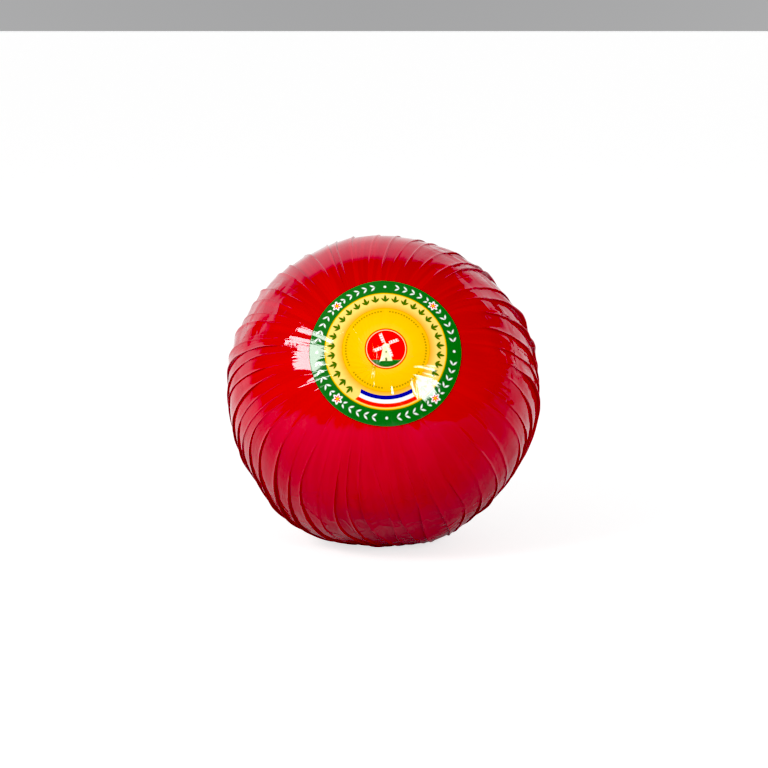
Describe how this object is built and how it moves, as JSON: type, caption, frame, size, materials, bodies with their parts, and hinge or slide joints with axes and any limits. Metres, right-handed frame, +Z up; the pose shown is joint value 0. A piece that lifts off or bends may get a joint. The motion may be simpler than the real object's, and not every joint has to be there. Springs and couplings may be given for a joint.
{
  "type": "ball of cheese",
  "caption": "Ball-shaped red cheese in glossy film drawn into knife pleats, with a round label on its front, lying on a small flat spot.",
  "frame": {"origin": "on the floor at the resting flat spot, right under the ball's centre", "axes": "+Z up, away from the resting flat spot; the label faces -Y and tilts up by 28 degrees; +X to the right as seen from the label's side"},
  "size_m": [0.1494, 0.1396, 0.1463],
  "materials": {
    "red_film": "glossy clear film over a red coat, pleated and finely wrinkled",
    "label_print": "printed colours under glossy clear film"
  },
  "bodies": {
    "root": {"wrapped_cheese": "red_film", "label": "label_print"}
  },
  "joints": []
}
